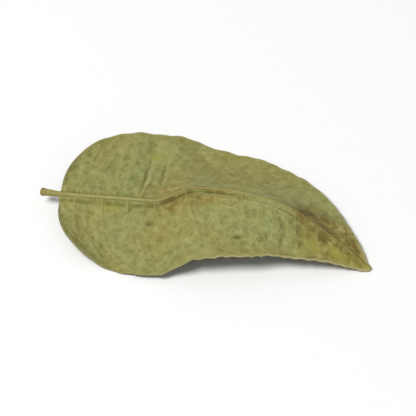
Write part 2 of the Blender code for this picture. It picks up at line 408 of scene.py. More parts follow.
def net_distance(along, across):
    """Distance to the nearest veinlet of the fine net."""
    x, y = flat_place(along, across)
    places = zip((x / NET_CELL).ravel(), (y / NET_CELL).ravel())
    found = [noise.voronoi(Vector((right, back, 0.0)))[0] for right, back in places]
    gaps = [0.5 * (near[1] - near[0]) * NET_CELL for near in found]
    return np.reshape(gaps, x.shape)


def relief(along, across):
    """Height above the smooth upturned face."""
    x, y, side, out = plan(along, across)
    rib = MIDRIB_FOOT_HEIGHT * np.exp(-(y / (rib_half_width(along) + MIDRIB_FOOT)) ** 2)
    lateral = VEIN_SHOULDER_HEIGHT * np.exp(-(vein_distance(along, across) / VEIN_SHOULDER) ** 2)
    lateral *= (1 - SHOULDER_LOWERS_OUT * out) * (1 - SHOULDER_LOWERS_ALONG * along)
    to_net = net_distance(along, across)
    veinlet = NET_HEIGHT * np.exp(-(to_net / NET_HALF_WIDTH) ** 2)
    sunk = CELL_SINK * (1 - np.exp(-(to_net / (3 * NET_HALF_WIDTH)) ** 2))
    crinkle = layered_lumps(x, y * side, CRINKLES)
    pucker = lumps((x - PUCKER_SLANT * y) * PUCKER_STRETCH, y * side, PUCKER_LENGTH, PUCKER_LAYER)
    crinkle -= PUCKER_DEPTH * np.abs(pucker) * eased(PUCKER_FADE, along)
    fine = (veinlet - sunk + crinkle + MEAN_SINK) * (1 - out ** 8) - MEAN_SINK
    fine *= np.where(side > 0, eased(FAR_HALF_FADE, along), 1.0)
    fine *= np.clip((y - rib_half_width(along)) / SMOOTH_BY_RIB, 0, 1)
    furrow = RIB_GROOVE * beside_rib(along, across) * eased(GROOVE_FADE, along)
    height = np.maximum(rib, lateral) + fine + crease_depth(along, across) - furrow
    deepest = BLADE_THICKNESS - THINNEST
    room = THINNEST_EASING * deepest
    past = np.maximum(-height - (deepest - room), 0)
    return height + past - room * np.tanh(past / room)


print("relief at the middle of the near half:", round(float(relief(0.4, -0.5)) / MM, 3), "mm")

# %% [markdown]
# ## Where it withered
# The photographed leaf is olive with a grey bloom, and it turns yellow-brown past the
# crease, toward the tip. Small brown spots show where the tissue died first. They could
# be painted by hand. Here each is a function of the leaf's own coordinates, so that the
# blade and its veins change colour at the same place. A row for a spot holds its along
# and across and its radius in millimetres.

# %% Brown spots
SPOTS = (
    (0.264, -0.285, 0.36), (0.289, -0.705, 0.26), (0.495, -0.68, 0.42), (0.723, -0.64, 0.36),
    (0.812, -0.295, 0.5), (0.823, 0.08, 0.42), (0.855, 0.12, 0.34), (0.912, -0.035, 0.3),
    (0.723, 0.155, 0.55), (0.719, 0.36, 0.45), (0.79, 0.2, 0.36), (0.844, 0.815, 0.34),
    (0.864, 0.535, 0.3), (0.11, 0.52, 0.16),
    (0.43, 0.62, 0.22), (0.6, 0.28, 0.2), (0.19, -0.5, 0.14), (0.66, -0.3, 0.18),
    (0.77, -0.2, 0.2), (0.83, -0.18, 0.18), (0.36, -0.34, 0.16), (0.34, -0.5, 0.18),
)
FAR_FROM_SPOTS = 3 * MM
SPOT_STRETCH = 1.7
SPOT_SLANT = 0.5
SPOT_TURN = 2.3


def spot_edge(along, across):
    """Distance to the edge of the nearest brown spot, less than nothing inside it."""
    x, y = flat_place(along, across)
    nearest = np.full(np.shape(x), FAR_FROM_SPOTS)
    for number, (spot_along, spot_across, radius) in enumerate(SPOTS):
        spot_x, spot_y = flat_place(spot_along, spot_across)
        slant = SPOT_SLANT * math.sin(SPOT_TURN * number)
        apart = np.hypot((x - spot_x) / SPOT_STRETCH + slant * (y - spot_y), y - spot_y)
        nearest = np.minimum(nearest, apart - radius * MM)
    return nearest


print(len(SPOTS), "brown spots")

# %% [markdown]
# Bruises darken the leaf along its crease. Tints turn it to straw, or keep it green where
# their strength is less than nothing. A few patches stayed yellow-green. A row for any
# of these holds along and across, length and breadth in millimetres, and strength.

# %% Bruises, tints and withering
BRUISES = (
    (0.375, -0.1, 3.8, 1.2, 0.5), (0.34, -0.042, 2.2, 0.24, 1.5), (0.34, 0.03, 2.4, 0.6, 0.4),
    (0.46, -0.04, 3.6, 0.22, 0.6), (0.79, 0.04, 2.2, 1.2, 0.5),
    (0.74, -0.15, 2.2, 2.0, 0.6), (0.74, 0.25, 2.4, 1.8, 0.9), (0.722, 0.2, 0.9, 1.3, 1.3),
    (0.815, -0.03, 1.4, 0.9, 0.5), (0.97, 0.0, 1.6, 1.6, 0.2),
    (0.3, -0.48, 5.5, 4.2, 0.09), (0.27, 0.32, 3.2, 2.4, 0.07), (0.4, -0.33, 3.0, 1.8, 0.08),
)
TINTS = (
    (0.08, 0.8, 3.0, 2.2, 0.5), (0.1, -0.08, 3.0, 1.6, 0.8), (0.295, -0.42, 4.0, 3.0, 0.9),
    (0.317, 0.15, 1.8, 1.0, 1.9), (0.372, -0.14, 3.2, 0.9, 2.2), (0.24, -0.6, 2.4, 2.0, 0.2),
    (0.43, 0.5, 5.0, 4.5, 1.1), (0.44, 0.16, 1.6, 0.7, -1.0), (0.237, 0.27, 0.8, 0.7, 1.0),
    (0.19, 0.58, 2.8, 3.4, -1.1), (0.05, 0.42, 1.8, 2.4, -0.7), (0.59, -0.4, 4.2, 3.4, -1.3),
    (0.56, 0.12, 2.4, 1.2, -0.7), (0.49, -0.12, 2.2, 0.9, 1.1), (0.74, -0.62, 2.4, 1.8, -0.9),
    (0.22, -0.3, 1.8, 1.6, -0.6), (0.208, 0.74, 1.0, 1.0, -1.4),
    (0.69, -0.44, 2.0, 2.4, -1.2), (0.705, 0.88, 1.8, 1.4, -1.9), (0.84, -0.28, 0.9, 0.6, 1.8),
    (0.72, 0.55, 1.0, 2.0, 1.8), (0.875, 0.8, 2.4, 1.4, 2.0), (0.97, -0.3, 1.8, 1.2, 1.4),
)
YELLOWED = (
    (0.77, -0.6, 2.6, 1.2, 0.6), (0.865, -0.66, 2.6, 0.9, 0.8), (0.935, -0.7, 1.8, 0.5, 0.8),
    (0.98, -0.3, 1.2, 0.8, 0.6), (0.17, -0.11, 1.4, 0.7, 0.5), (0.212, 0.71, 1.0, 0.9, 0.7),
    (0.721, -0.82, 0.9, 0.6, 0.6), (0.52, 0.22, 3.0, 1.4, 0.35),
)
WITHERED_BY = ((0.6, 0.0), (0.69, 0.12), (0.765, 0.78), (1.0, 0.85))
RAGGEDNESS = ((0.035, 2.4 * MM, 8.8), (0.015, 0.7 * MM, 1.7))
PATCHINESS = ((0.32, 4.5 * MM, 11.6), (0.16, 1.8 * MM, 4.9))
MARGIN_WITHERING = 0.35
TINT_WITHERING = 0.25


def soft_patches(along, across, patches):
    """The strength of every patch at each point, one row for a patch."""
    x, y = flat_place(along, across)
    found = []
    for middle_along, middle_across, length, breadth, strength in patches:
        middle_x, middle_y = flat_place(middle_along, middle_across)
        apart = ((x - middle_x) / (length * MM)) ** 2 + ((y - middle_y) / (breadth * MM)) ** 2
        found.append(strength * np.exp(-apart))
    return np.array(found)


def bruised(along, across):
    """How brown the tissue is, 0 where it is sound."""
    return soft_patches(along, across, BRUISES).max(axis=0)


def tint(along, across):
    """Where the leaf turned straw, above nothing, or stayed green, below nothing."""
    return soft_patches(along, across, TINTS).sum(axis=0)


def withered(along, across):
    """How far the green has gone, from 0 to 1."""
    x, y = flat_place(along, across)
    toward_tip = eased(WITHERED_BY, along + layered_lumps(x, y, RAGGEDNESS))
    patches = layered_lumps(x, y, PATCHINESS) * (1 - 0.5 * toward_tip)
    at_margin = MARGIN_WITHERING * np.abs(across) ** 9
    tinted = TINT_WITHERING * tint(along, across)
    return np.clip(toward_tip + patches + at_margin + tinted, 0, 1)


print(len(BRUISES), "bruises,", len(TINTS), "tints and", len(YELLOWED), "yellow patches")

# %% [markdown]
# ## Dried underside
# The underside of a curry leaf has no gloss: a dry cuticle over loose cells scatters the
# light, with a little sheen from short hairs. One noise texture could colour it. Here the
# colour is built in layers, as a painter would, and each pattern starts from a real size.
# The finest net reads a UV map of the leaf pressed flat. The patches, the mottle and the
# grain read its Object coordinates, because they keep to no direction. The real grain, of
# single cells, is finer still, and is drawn this coarse so that it shows.

# %% Patterns of the dried underside
UV_SPAN = 50 * MM
PATCH_SIZE = 7 * MM
MOTTLE_SIZE = 1.0 * MM
GRAIN_SIZE = 0.22 * MM
AREOLE_SIZE = 0.42 * MM
SPOT_RAGGEDNESS = 1.3 * MM
TINT_STRENGTH = 0.22


def new_material(name):
    """A material without any nodes, and its node tree."""
    material = bpy.data.materials.new(name)
    material.use_nodes = True
    material.node_tree.nodes.clear()
    return material, material.node_tree


underside, tree = new_material("dried_leaf_underside")
uv = add_node(tree, "ShaderNodeUVMap", uv_map="pressed_leaf")
place = add_node(tree, "ShaderNodeTexCoord", output="Object")
wide, mottle, grain = [
    add_node(tree, "ShaderNodeTexNoise",
             {"Vector": place, "Scale": 1 / size, "Detail": detail, "Roughness": harshness})
    for size, detail, harshness in ((PATCH_SIZE, 3.0, 0.5), (MOTTLE_SIZE, 5.0, 0.62),
                                    (GRAIN_SIZE, 3.0, 0.6))]
areole = add_node(tree, "ShaderNodeTexVoronoi",
                  {"Vector": uv, "Scale": UV_SPAN / AREOLE_SIZE}, feature="DISTANCE_TO_EDGE")
faded = {name: add_node(tree, "ShaderNodeAttribute", output="Fac", attribute_name=name)
         for name in ("withered", "bruised", "tint", "yellowed", "spot_edge", "to_net",
                      "to_vein", "at_margin", "furrow", "beside_rib")}
tinted = add_node(tree, "ShaderNodeMath", {0: faded["tint"], 1: TINT_STRENGTH, 2: wide},
                  operation="MULTIPLY_ADD")
ragged = add_node(tree, "ShaderNodeMath",
                  {0: mottle, 1: SPOT_RAGGEDNESS, 2: faded["spot_edge"]},
                  operation="MULTIPLY_ADD")
print("the underside reads", len(faded), "attributes")

# %% [markdown]
# Every layer of colour has a mask that says how much of it shows at a point. Most masks
# are a pattern read through a range: each row names the pattern, the two values of it
# where the mask starts and ends, how strong the mask is at these, and how it runs between
# them. Dark flecks and straw-coloured flecks show only where the tissue has died. The
# masks that follow leaf coordinates are broken up by the mottle, or they would look
# airbrushed.

# %% Masks of the dried underside
RANGES = {
    "wide": (tinted, (0.35, 0.65), (0.0, 1.0), "LINEAR"),
    "tanned": (faded["tint"], (0.9, 1.8), (0.0, 0.75), "SMOOTHSTEP"),
    "dulled": (mottle, (0.42, 0.64), (0.0, 0.75), "LINEAR"),
    "paled": (mottle, (0.44, 0.3), (0.0, 0.6), "LINEAR"),
    "uneven": (mottle, (0.3, 0.7), (0.25, 1.35), "LINEAR"),
    "finest_net": (areole, (0.02, 0.16), (1.0, 0.0), "SMOOTHSTEP"),
    "net": (faded["to_net"], (0.03 * MM, 0.13 * MM), (0.42, 0.0), "SMOOTHSTEP"),
    "veins": (faded["to_vein"], (0.06 * MM, 0.2 * MM), (0.3, 0.0), "SMOOTHSTEP"),
    "died": (faded["withered"], (0.4, 0.85), (0.0, 1.0), "LINEAR"),
    "dark_flecks": (mottle, (0.5, 0.6), (0.0, 0.75), "LINEAR"),
    "straw_flecks": (mottle, (0.48, 0.36), (0.0, 0.7), "LINEAR"),
    # sunken paints shade into the crease furrows, and raised paints a highlight on their ridges.
    "sunken": (faded["furrow"], (-0.15, -1.0), (0.0, 0.65), "LINEAR"),
    "raised": (faded["furrow"], (0.15, 1.0), (0.0, 0.7), "LINEAR"),
    "spots": (ragged, (0.22 * MM, 0.88 * MM), (0.85, 0.0), "SMOOTHSTEP"),
    "roughness": (grain, (0.3, 0.7), (0.68, 0.9), "LINEAR"),
}
BROKEN_UP = {"withered": 0.8, "bruised": 0.85, "yellowed": 1.0, "at_margin": 1.0,
             "beside_rib": 0.85}
FINEST_NET_TONE = 0.26

masks = {}
for name, (pattern, (start, end), (first, last), easing) in RANGES.items():
    masks[name] = add_node(tree, "ShaderNodeMapRange",
                           {"Value": pattern, "From Min": start, "From Max": end,
                            "To Min": first, "To Max": last}, interpolation_type=easing)
for name in ("dark_flecks", "straw_flecks"):
    masks[name] = add_node(tree, "ShaderNodeMath", {0: masks[name], 1: masks["died"]},
                           operation="MULTIPLY")
for name, strength in BROKEN_UP.items():
    broken = add_node(tree, "ShaderNodeMath", {0: faded[name], 1: masks["uneven"]},
                      operation="MULTIPLY", use_clamp=True)
    masks[name] = add_node(tree, "ShaderNodeMath", {0: broken, 1: strength},
                           operation="MULTIPLY")
masks["finest_net_tone"] = add_node(
    tree, "ShaderNodeMath", {0: masks["finest_net"], 1: FINEST_NET_TONE}, operation="MULTIPLY")
print(len(masks), "masks")

# %% [markdown]
# The layers go on from the widest to the smallest: olive patches, tan, mottle, the pale
# nets, withering, the veins, painted shade in the crease furrows and a painted highlight on
# their ridges, painted shade beside the midrib, and last the bruises, the dry, pale rim with
# its painted highlight, and the spots.
# Every material here ends in the same way, so one helper lays the layers and adds the
# surface.

# %% Colour and surface of the dried underside
UNDERSIDE_LAYERS = (
    ("wide", "#908c4d"), ("tanned", "#9f8b46"), ("dulled", "#706f34"), ("paled", "#a5a26c"),
    ("finest_net_tone", "#9c9a5e"), ("net", "#9c9a5e"), ("withered", "#84732f"),
    ("dark_flecks", "#65571f"), ("straw_flecks", "#ad9f63"), ("yellowed", "#99963f"),
    # sunken is painted shade in the crease furrows, and raised is a painted highlight on their
    # ridges.
    ("veins", "#9c985b"), ("sunken", "#5e6029"), ("raised", "#afa973"),
    # at_margin is the pale rim: partly dried colour, partly a painted highlight along the curled
    # edge.
    # beside_rib is painted shade in the furrows along the midrib.
    ("beside_rib", "#696a2a"), ("bruised", "#60501c"), ("at_margin", "#b0a678"),
    ("spots", "#5a521e"),
)


def finish(tree, ground, layers, look):
    """Lay masked hex colours over a ground colour, and end the tree with its surface."""
    colour = linear(ground)
    for mask, over in layers:
        colour = add_node(tree, "ShaderNodeMix", {"Factor": mask, "A": colour, "B": linear(over)},
                          data_type="RGBA")
    surface = add_node(tree, "ShaderNodeBsdfPrincipled", {"Base Color": colour, **look})
    add_node(tree, "ShaderNodeOutputMaterial", {"Surface": surface})
    print(len(layers), "layers of colour in", len(tree.nodes), "nodes")


height = add_node(tree, "ShaderNodeMath", {0: masks["finest_net"], 1: 0.7, 2: grain},
                  operation="MULTIPLY_ADD")
bumps = add_node(tree, "ShaderNodeBump",
                 {"Strength": 0.55, "Distance": 0.03 * MM, "Height": height})
finish(tree, "#888f57", [(masks[name], over) for name, over in UNDERSIDE_LAYERS],
       {"Roughness": masks["roughness"], "Normal": bumps, "Specular IOR Level": 0.26,
        "Sheen Weight": 0.035, "Sheen Roughness": 0.6})

# %% [markdown]
# ## Dried upper side
# The face that lies downward is the upper side of the leaf. It could share the finish of
# the underside, but it keeps its waxy cuticle, so it is darker, greener and a little
# glossy, and its veins are sunken lines.

# %% Dried upper side material
UPPER_MOTTLE_SIZE = 1.6 * MM
UPPER_AREOLE_SIZE = 0.5 * MM

upper_side, tree = new_material("dried_leaf_upper_side")
uv = add_node(tree, "ShaderNodeUVMap", uv_map="pressed_leaf")
mottle = add_node(tree, "ShaderNodeTexNoise",
                  {"Vector": uv, "Scale": UV_SPAN / UPPER_MOTTLE_SIZE, "Detail": 5.0,
                   "Roughness": 0.6})
areole = add_node(tree, "ShaderNodeTexVoronoi",
                  {"Vector": uv, "Scale": UV_SPAN / UPPER_AREOLE_SIZE},
                  feature="DISTANCE_TO_EDGE")
gone = add_node(tree, "ShaderNodeAttribute", output="Fac", attribute_name="withered")
to_vein = add_node(tree, "ShaderNodeAttribute", output="Fac", attribute_name="to_vein")
vein_mask = add_node(tree, "ShaderNodeMapRange",
                     {"Value": to_vein, "From Min": 0.05 * MM, "From Max": 0.2 * MM,
                      "To Min": 0.6, "To Max": 0.0}, interpolation_type="SMOOTHSTEP")
mottle_mask = add_node(tree, "ShaderNodeMapRange",
                       {"Value": mottle, "From Min": 0.35, "From Max": 0.68})
roughness = add_node(tree, "ShaderNodeMapRange",
                     {"Value": mottle, "From Min": 0.3, "From Max": 0.7, "To Min": 0.38,
                      "To Max": 0.56})
bumps = add_node(tree, "ShaderNodeBump",
                 {"Strength": 0.5, "Distance": 0.03 * MM, "Height": areole})
finish(tree, "#5d6229",
       ((mottle_mask, "#4c5224"), (gone, "#6f5f2c"), (vein_mask, "#7a7840")),
       {"Roughness": roughness, "Normal": bumps, "Specular IOR Level": 0.45})

# %% [markdown]
# ## The blade
# The blade is a paper-thin sheet with a rounded rim. A Solidify modifier could thicken a
# single sheet, but its rim would be square and both faces would be alike. Here a grid of
# points holds the shape, and a node tree makes two faces of it that share their border.
# Rows crowd together at the blunt base and at the tip, and columns at the midrib and
# the margin.

# %% The grid of leaf coordinates
ROWS = 336
HALF_COLUMNS = 68
RIM_COLUMNS = 4
RIM = 0.14 * MM
RIM_SHARE = 0.4
ROW_CROWDING = 0.02
TIP_CROWDING = 0.01
COLUMN_CROWDING = 0.3

step = np.linspace(0, 1, ROWS + 1)
row_along = (1 + ROW_CROWDING) * step ** 2 / (step + ROW_CROWDING)
to_tip = 1 - row_along
row_along = 1 - (1 + TIP_CROWDING) * to_tip ** 2 / (to_tip + TIP_CROWDING)
inner = np.linspace(0, 1, HALF_COLUMNS - RIM_COLUMNS + 1)
rim_turn = np.radians(90 * np.arange(1, RIM_COLUMNS + 1) / RIM_COLUMNS)


def columns_at(side):
    """The across values from the midrib to one margin, for every row."""
    width = half_width(row_along, side)[:, None]
    edge = np.minimum(RIM, RIM_SHARE * width)
    spread = inner - COLUMN_CROWDING * np.sin(2 * math.pi * inner) / (2 * math.pi)
    rim = width - edge + edge * np.sin(rim_turn)
    return side * np.concatenate([spread * (width - edge), rim], axis=1) / width


ACROSS = np.concatenate([columns_at(-1.0)[:, :0:-1], columns_at(1.0)], axis=1)
ALONG = np.repeat(row_along[:, None], ACROSS.shape[1], axis=1)
print("grid of", ACROSS.shape, "points")

# %% [markdown]
# Each point gets its place on the underlying face and the direction out of the sheet. The
# directions are averaged with their neighbours, or the face would fold over itself
# where the leaf bends sharply onto the surface it lies on. At the base and the tip all
# columns meet in one point, which has no direction of its own.

# %% The sheet and its outward directions
BEND_EASING = 6

X, Y, SIDE, OUT = plan(ALONG, ACROSS)
SHEET = lower_face(ALONG, ACROSS)
OUTWARD = np.cross(np.gradient(SHEET, axis=0), np.gradient(SHEET, axis=1))
OUTWARD[0], OUTWARD[-1] = OUTWARD[2], OUTWARD[-3]
OUTWARD[1], OUTWARD[-2] = OUTWARD[2], OUTWARD[-3]
OUTWARD /= np.linalg.norm(OUTWARD, axis=-1, keepdims=True)
for _ in range(BEND_EASING):
    OUTWARD[1:-1] += 0.25 * (OUTWARD[:-2] - 2 * OUTWARD[1:-1] + OUTWARD[2:])
    OUTWARD[:, 1:-1] += 0.25 * (OUTWARD[:, :-2] - 2 * OUTWARD[:, 1:-1] + OUTWARD[:, 2:])
OUTWARD /= np.linalg.norm(OUTWARD, axis=-1, keepdims=True)
print("the sheet is", round(float(np.ptp(SHEET[..., 2])) / MM, 2), "mm high")

# %% [markdown]
# Each point also carries how full the rounded rim still is there, its relief, and what
# its colour depends on. The margin has a pale rim that shows in places, partly its dried
# colour and partly a painted highlight along the curled edge. The dark line beside the
# midrib is painted shade in its furrows, and it fades past the crease.

# %% What each point carries
# The pale rim is partly the dried margin's own colour and partly a painted highlight along its
# curled edge.
PALE_RIM = 0.32 * MM
NEAR_PALE_RIM = ((0.3, 0.3), (0.45, 1.0))
FAR_PALE_RIM = ((0.8, 0.4), (0.9, 0.9))
DEEP_FURROW = 0.15 * MM
VEIN_TONE_THINS = 0.1 * MM
DARK_LINE_FADE = ((0.28, 1.0), (0.36, 0.4))

to_edge = np.minimum(half_width(ALONG, SIDE) * (1 - OUT), ALONG * BLADE_LENGTH)
to_edge = np.minimum(to_edge, (1 - ALONG) * BLADE_LENGTH)
fullness = np.sqrt(1 - (1 - np.clip(to_edge / RIM, 0, 1)) ** 2)
paleness = np.where(SIDE < 0, eased(NEAR_PALE_RIM, ALONG), eased(FAR_PALE_RIM, ALONG))
carried = {
    "fullness": fullness,
    "relief": relief(ALONG, ACROSS) * fullness,
    "withered": withered(ALONG, ACROSS),
    "bruised": bruised(ALONG, ACROSS),
    "tint": tint(ALONG, ACROSS),
    "yellowed": soft_patches(ALONG, ACROSS, YELLOWED).max(axis=0),
    "spot_edge": spot_edge(ALONG, ACROSS),
    "to_net": net_distance(ALONG, ACROSS),
    "to_vein": vein_distance(ALONG, ACROSS) + VEIN_TONE_THINS * OUT,
    # at_margin is the pale rim, partly dried colour and partly a painted highlight on the curled
    # edge.
    "at_margin": (1 - np.clip(to_edge / PALE_RIM, 0, 1)) * paleness,
    # furrow carries the crease heights that the painted shade and the painted highlight of the
    # creases follow.
    "furrow": crease_depth(ALONG, ACROSS) / DEEP_FURROW,
    # beside_rib places the painted shade in the furrows along the midrib.
    "beside_rib": beside_rib(ALONG, ACROSS) * eased(DARK_LINE_FADE, ALONG),
}
print("relief up to", round(float(carried["relief"].max()) / MM, 2), "mm")

# %% [markdown]
# The grid becomes a mesh of quads. Its UV map holds the place of each point on the leaf
# as it would lie pressed flat, so a pattern that reads it is never stretched.

# %% The sheet as a mesh
index = np.arange(ALONG.size).reshape(ALONG.shape)
quads = np.stack([index[:-1, :-1], index[1:, :-1], index[1:, 1:], index[:-1, 1:]], -1)
quads = quads.reshape(-1, 4)
sheet = bpy.data.meshes.new("blade_sheet")
sheet.from_pydata(SHEET.reshape(-1, 3).tolist(), [], quads.tolist())
pressed = np.stack([X, Y * SIDE + UV_SPAN / 2], -1).reshape(-1, 2) / UV_SPAN
sheet.uv_layers.new(name="pressed_leaf").data.foreach_set("uv", pressed[quads].ravel())
for name, values in carried.items():
    sheet.attributes.new(name, "FLOAT", "POINT").data.foreach_set("value", values.ravel())
directions = sheet.attributes.new("outward", "FLOAT_VECTOR", "POINT")
directions.data.foreach_set("vector", OUTWARD.ravel())
print(len(sheet.vertices), "points and", len(sheet.polygons), "quads in the sheet")

# %% [markdown]
# Three helpers serve every geometry node tree here. One makes a tree with named inputs.
# One ends it: what was scattered becomes real mesh and gets its finish. The last runs
# it and keeps the result as a plain mesh, because nothing else may depend on a live
# modifier.

# %% Helpers for node trees
SOCKET_KINDS = {int: "NodeSocketInt", float: "NodeSocketFloat",
                bpy.types.Material: "NodeSocketMaterial"}


def new_tree(name, sizes):
    """A geometry node tree with a mesh input and one input for each named size."""
    tree = bpy.data.node_groups.new(name, "GeometryNodeTree")
    tree.interface.new_socket("Geometry", in_out="INPUT", socket_type="NodeSocketGeometry")
    tree.interface.new_socket("Geometry", in_out="OUTPUT", socket_type="NodeSocketGeometry")
    for label, value in sizes.items():
        kind = SOCKET_KINDS[type(value)]
        tree.interface.new_socket(label, in_out="INPUT", socket_type=kind)
    return tree, add_node(tree, "NodeGroupInput").node.outputs


def end_tree(tree, geometry, material, smooth=True):
    """Make instances real, shade them, give them their finish and end the tree."""
    geometry = add_node(tree, "GeometryNodeRealizeInstances", {"Geometry": geometry})
    geometry = add_node(tree, "GeometryNodeSetShadeSmooth",
                        {"Geometry": geometry, "Shade Smooth": smooth})
    geometry = add_node(tree, "GeometryNodeSetMaterial",
                        {"Geometry": geometry, "Material": material})
    add_node(tree, "NodeGroupOutput", {"Geometry": geometry})


def grow(name, source, tree, sizes):
    """Run a tree on a source mesh and keep what it makes as a plain mesh object."""
    piece = bpy.data.objects.new(name, source)
    scene.collection.objects.link(piece)
    growth = piece.modifiers.new(name, "NODES")
    growth.node_group = tree
    for socket in tree.interface.items_tree:
        if socket.in_out == "INPUT" and socket.name in sizes:
            growth[socket.identifier] = sizes[socket.name]
    depsgraph = bpy.context.evaluated_depsgraph_get()
    mesh = bpy.data.meshes.new_from_object(
        piece.evaluated_get(depsgraph), preserve_all_data_layers=True, depsgraph=depsgraph)
    piece.modifiers.clear()
    piece.data = mesh
    mesh.name = name
    print(name, "has", sum(len(face.vertices) - 2 for face in mesh.polygons), "triangles")
    return piece


print("helpers for", len(SOCKET_KINDS), "kinds of input")

# %% [markdown]
# A node tree now lifts one copy of the sheet by its thickness and relief, turns another
# copy to face down, and welds the two along the border, where the fullness is nothing.

# %% The two faces of the blade
blade_sizes = {"Thickness": BLADE_THICKNESS, "Weld Distance": 0.0005 * MM}
tree, given = new_tree("two_faced_sheet", blade_sizes)
outward = add_node(tree, "GeometryNodeInputNamedAttribute", {"Name": "outward"},
                   data_type="FLOAT_VECTOR")
fullness = add_node(tree, "GeometryNodeInputNamedAttribute", {"Name": "fullness"})
raised = add_node(tree, "GeometryNodeInputNamedAttribute", {"Name": "relief"})
half = add_node(tree, "ShaderNodeMath", {0: given["Thickness"], 1: 0.5}, operation="MULTIPLY")
spread = add_node(tree, "ShaderNodeMath", {0: half, 1: fullness}, operation="MULTIPLY")
lifts = {face: add_node(tree, "ShaderNodeMath", {0: half, 1: spread}, operation=operation)
         for face, operation in (("up", "ADD"), ("down", "SUBTRACT"))}
lifts["up"] = add_node(tree, "ShaderNodeMath", {0: lifts["up"], 1: raised}, operation="ADD")
faces = {}
for face, lift in lifts.items():
    offset = add_node(tree, "ShaderNodeVectorMath", {"Vector": outward, "Scale": lift},
                      operation="SCALE")
    faces[face] = add_node(tree, "GeometryNodeSetPosition",
                           {"Geometry": given["Geometry"], "Offset": offset})
faces["down"] = add_node(tree, "GeometryNodeFlipFaces", {"Mesh": faces["down"]})
faces["down"] = add_node(tree, "GeometryNodeStoreNamedAttribute",
                         {"Geometry": faces["down"], "Name": "down_facing", "Value": True},
                         data_type="BOOLEAN", domain="FACE")
skin = add_node(tree, "GeometryNodeJoinGeometry", {"Geometry": list(faces.values())})
skin = add_node(tree, "GeometryNodeMergeByDistance",
                {"Geometry": skin, "Distance": given["Weld Distance"]})
skin = add_node(tree, "GeometryNodeSetShadeSmooth", {"Geometry": skin, "Shade Smooth": True})
skin = add_node(tree, "GeometryNodeRealizeInstances", {"Geometry": skin})
skin = add_node(tree, "GeometryNodeSetMaterial", {"Geometry": skin, "Material": underside})
downward = add_node(tree, "GeometryNodeInputNamedAttribute", {"Name": "down_facing"},
                    data_type="BOOLEAN")
skin = add_node(tree, "GeometryNodeSetMaterial",
                {"Geometry": skin, "Selection": downward, "Material": upper_side})
add_node(tree, "NodeGroupOutput", {"Geometry": skin})
blade = grow("blade", sheet, tree, blade_sizes)

# %% [markdown]
# ## Vein tissue
# Veins are fibres, so dried ones are straw-coloured and a little smoother than the blade.
# A plain tan would do from afar. Close by, streaks along the fibres show. Real fibres are
# thinner than a fifth of a millimetre, and are drawn that coarse so that they can be seen.
# Veins wither where the blade does, through the same attribute on their points.

# %% Vein tissue material
FIBRE_SIZE = 0.2 * MM
FIBRE_STRETCH = 0.12
VEIN_MOTTLE_SIZE = 2.2 * MM

vein_tissue, tree = new_material("dried_vein_fibre")
place = add_node(tree, "ShaderNodeTexCoord", output="Object")
fibres = add_node(tree, "ShaderNodeMapping",
                  {"Vector": place, "Scale": (FIBRE_STRETCH, 1.0, 1.0)})
streak = add_node(tree, "ShaderNodeTexNoise",
                  {"Vector": fibres, "Scale": 1 / FIBRE_SIZE, "Detail": 4.0, "Roughness": 0.6})
mottle = add_node(tree, "ShaderNodeTexNoise",
                  {"Vector": place, "Scale": 1 / VEIN_MOTTLE_SIZE, "Detail": 3.0})
streak_mask = add_node(tree, "ShaderNodeMapRange",
                       {"Value": streak, "From Min": 0.35, "From Max": 0.7})
mottle_mask = add_node(tree, "ShaderNodeMapRange",
                       {"Value": mottle, "From Min": 0.35, "From Max": 0.65})
gone = add_node(tree, "ShaderNodeAttribute", output="Fac", attribute_name="withered")
gone = add_node(tree, "ShaderNodeMath", {0: gone, 1: 0.7}, operation="MULTIPLY")
hurt = add_node(tree, "ShaderNodeAttribute", output="Fac", attribute_name="bruised")
hurt = add_node(tree, "ShaderNodeMath", {0: hurt, 1: 0.7}, operation="MULTIPLY")
bumps = add_node(tree, "ShaderNodeBump",
                 {"Strength": 0.7, "Distance": 0.04 * MM, "Height": streak})
finish(tree, "#a29e61", ((mottle_mask, "#969352"), (streak_mask, "#858146"),
                         (gone, "#887537"), (hurt, "#64491a")),
       {"Roughness": 0.62, "Normal": bumps, "Specular IOR Level": 0.4})

# %% [markdown]
# ## Strands that follow the leaf
# The stalk runs on as the midrib, and the lateral veins branch from it. A curve with a
# bevel could draw each, but it would be evenly round. Here each is a path of points with
# a girth at every point, and one node tree makes a tube of each path, with grooves along
# it and shallow wrinkles, as fibres shrink round each other when they dry.

# %% A tree for strands
strand_sizes = {"Sides": 16, "Grooves": 7, "Groove Depth": 0.02 * MM, "Wrinkle Size": 0.7 * MM,
                "Wrinkle Depth": 0.05 * MM, "Finish": vein_tissue}
strand_tree, given = new_tree("grooved_strands", strand_sizes)
tree = strand_tree
path = add_node(tree, "GeometryNodeMeshToCurve", {"Mesh": given["Geometry"]})
path = add_node(tree, "GeometryNodeSetCurveNormal", {"Curve": path}, mode="Z_UP")
ring = add_node(tree, "GeometryNodeCurvePrimitiveCircle",
                {"Resolution": given["Sides"], "Radius": 1.0}, output="Curve", mode="RADIUS")
turn = add_node(tree, "GeometryNodeSplineParameter", output="Factor")
ring = add_node(tree, "GeometryNodeStoreNamedAttribute",
                {"Geometry": ring, "Name": "round", "Value": turn},
                data_type="FLOAT", domain="POINT")
girth = add_node(tree, "GeometryNodeInputNamedAttribute", {"Name": "girth"})
tube = add_node(tree, "GeometryNodeCurveToMesh",
                {"Curve": path, "Profile Curve": ring, "Scale": girth, "Fill Caps": True})
angle = add_node(tree, "GeometryNodeInputNamedAttribute", {"Name": "round"})
for factor in (2 * math.pi, given["Grooves"]):
    angle = add_node(tree, "ShaderNodeMath", {0: angle, 1: factor}, operation="MULTIPLY")
groove = add_node(tree, "ShaderNodeMath", {0: angle}, operation="COSINE")
groove = add_node(tree, "ShaderNodeMath", {0: groove, 1: given["Groove Depth"]},
                  operation="MULTIPLY")
